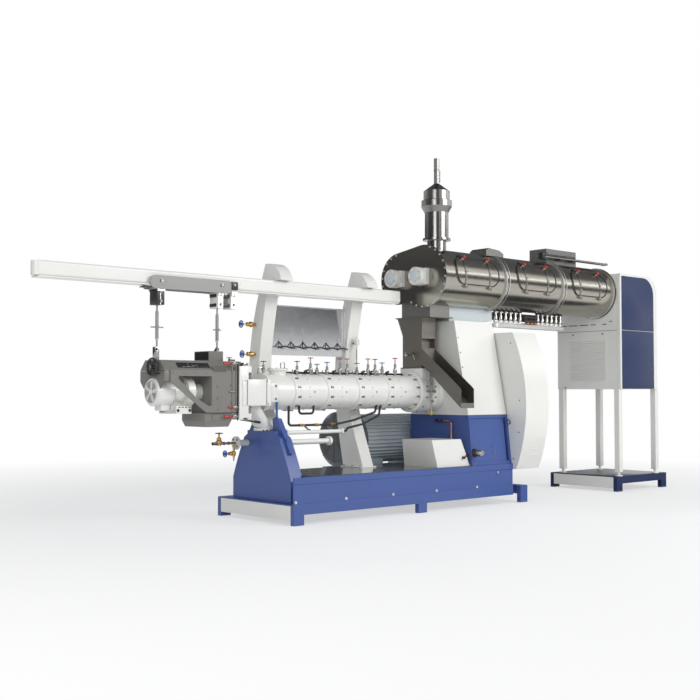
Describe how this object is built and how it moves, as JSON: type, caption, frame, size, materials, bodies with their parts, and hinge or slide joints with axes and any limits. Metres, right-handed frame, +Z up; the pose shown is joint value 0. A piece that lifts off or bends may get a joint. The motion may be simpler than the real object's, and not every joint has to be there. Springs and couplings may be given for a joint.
{
  "type": "screw extruder with steam conditioner",
  "caption": "Screw extruder line: jacketed barrel on a welded base, two-shaft conditioner above, knife unit on an overhead rail.",
  "frame": {"origin": "middle of the whole footprint, on the floor", "axes": "+X along the barrel from the die to the drive stand, +Y away from the operator, +Z up"},
  "size_m": [9.755, 1.9968, 4.325],
  "materials": {
    "blue_paint": "satin",
    "white_paint": "satin",
    "stainless": "brushed",
    "grey_steel": "satin",
    "dark_paint": "gloss",
    "cast_parts": "machined",
    "brass": "satin",
    "hose_rubber": "matte"
  },
  "bodies": {
    "frame": {"barrel_hoses": "hose_rubber", "barrel_segments": "white_paint", "barrel_valves": "brass", "base_beam": "blue_paint", "base_deck": "dark_paint", "base_end_panel": "white_paint", "base_feet": "blue_paint", "bearing_housing": "white_paint", "belt_guard": "white_paint", "bow_columns": "white_paint", "bypass_slide": "stainless", "conditioner_flanges": "stainless", "conditioner_neck": "stainless", "conditioner_plinth": "white_paint", "conditioner_section_1": "stainless", "conditioner_section_2": "stainless", "conditioner_section_3": "stainless", "cross_frames": "blue_paint", "die_block": "white_paint", "die_gasket": "dark_paint", "die_plate": "cast_parts", "discharge_elbow": "white_paint", "door_hinges": "stainless", "drive_housing": "white_paint", "feed_chute": "stainless", "feed_head": "white_paint", "gearbox_cover": "white_paint", "gearbox_lower": "blue_paint", "motor_body": "cast_parts", "motor_fan_cowl": "dark_paint", "motor_frame": "blue_paint", "nozzle_row": "stainless", "oil_pipes": "brass", "overhead_rail": "white_paint", "paddle_shafts": "cast_parts", "pedestal": "blue_paint", "powder_inlet": "stainless", "pump_cover": "white_paint", "shaft_bearings": "white_paint", "splash_panel": "stainless", "stand_base": "blue_paint", "stand_end_panel": "white_paint", "stand_legs": "white_paint", "steam_manifold": "stainless", "steam_valves": "brass", "top_lid": "stainless", "vent_stack": "stainless"},
    "carriage": {"trolley_plates": "grey_steel", "rod_hangers": "stainless", "cutter_chamber": "grey_steel", "cutter_canopy": "grey_steel", "cutter_side_plates": "grey_steel", "cutter_outlet": "grey_steel", "cutter_motor": "white_paint", "knife_rotor": "cast_parts"},
    "handwheel": {"cutter_handwheel": "dark_paint"},
    "door_1": {"door_1": "stainless"},
    "door_2": {"door_2": "stainless"},
    "door_3": {"door_3": "stainless"}
  },
  "joints": [
    {"name": "carriage_travel", "type": "slide", "parent": "frame", "child": "carriage", "axis": [-1, 0, 0], "range_m": [0, 1.1]},
    {"name": "handwheel_turn", "type": "hinge", "parent": "carriage", "child": "handwheel", "pos_m": [-3.6035, -0.16459, 1.656], "axis": [1, 0, 0], "continuous": true},
    {"name": "door_1_hinge", "type": "hinge", "parent": "frame", "child": "door_1", "pos_m": [0.7565, -0.69762, 2.69525], "axis": [1, 0, 0], "range_deg": [0, 120]},
    {"name": "door_2_hinge", "type": "hinge", "parent": "frame", "child": "door_2", "pos_m": [1.9275, -0.69762, 2.69525], "axis": [1, 0, 0], "range_deg": [0, 120]},
    {"name": "door_3_hinge", "type": "hinge", "parent": "frame", "child": "door_3", "pos_m": [3.0985, -0.69762, 2.69525], "axis": [1, 0, 0], "range_deg": [0, 120]}
  ]
}
